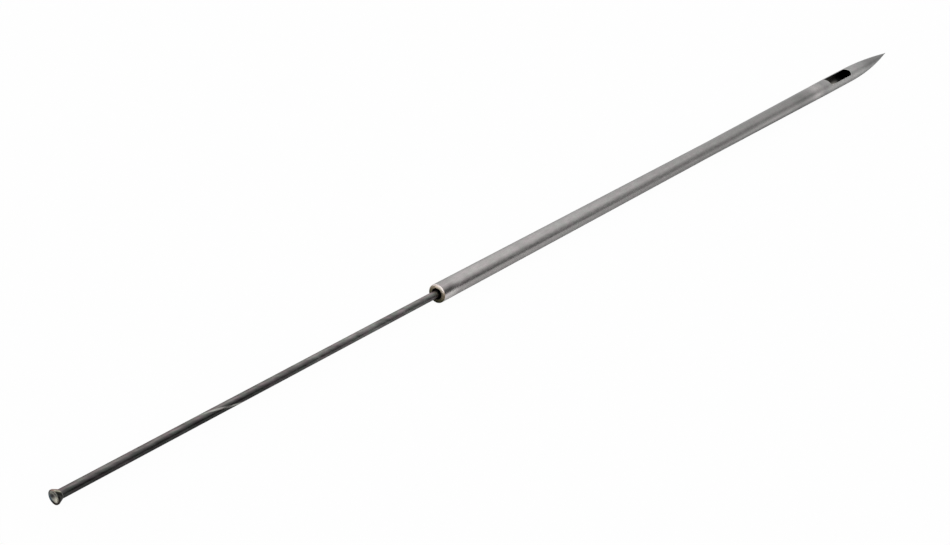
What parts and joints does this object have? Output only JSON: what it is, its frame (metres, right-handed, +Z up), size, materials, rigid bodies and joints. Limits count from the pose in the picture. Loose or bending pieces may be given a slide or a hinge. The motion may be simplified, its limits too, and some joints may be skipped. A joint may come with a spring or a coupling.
{
  "type": "tufting needle",
  "caption": "Hollow steel tufting needle with a side eye behind its spear point and a dished-head plunger rod drawn out of its open end.",
  "frame": {"origin": "middle of the whole length with the plunger drawn out, on the bench under the axis", "axes": "+X along the needle from the plunger's head to the point, +Z up, out of the eye"},
  "size_m": [0.4144, 0.006, 0.0054],
  "materials": {
    "tube_steel": "satin drawn tube",
    "point_steel": "matte ground",
    "rod_steel": "dark drawn wire",
    "head_steel": "satin turned"
  },
  "bodies": {
    "needle": {"needle_tube": "tube_steel", "needle_point": "point_steel"},
    "plunger": {"plunger_rod": "rod_steel", "plunger_head": "head_steel"}
  },
  "joints": [
    {"name": "plunger_slide", "type": "slide", "parent": "needle", "child": "plunger", "axis": [1, 0, 0], "range_m": [-0.155, 0.1089]}
  ]
}
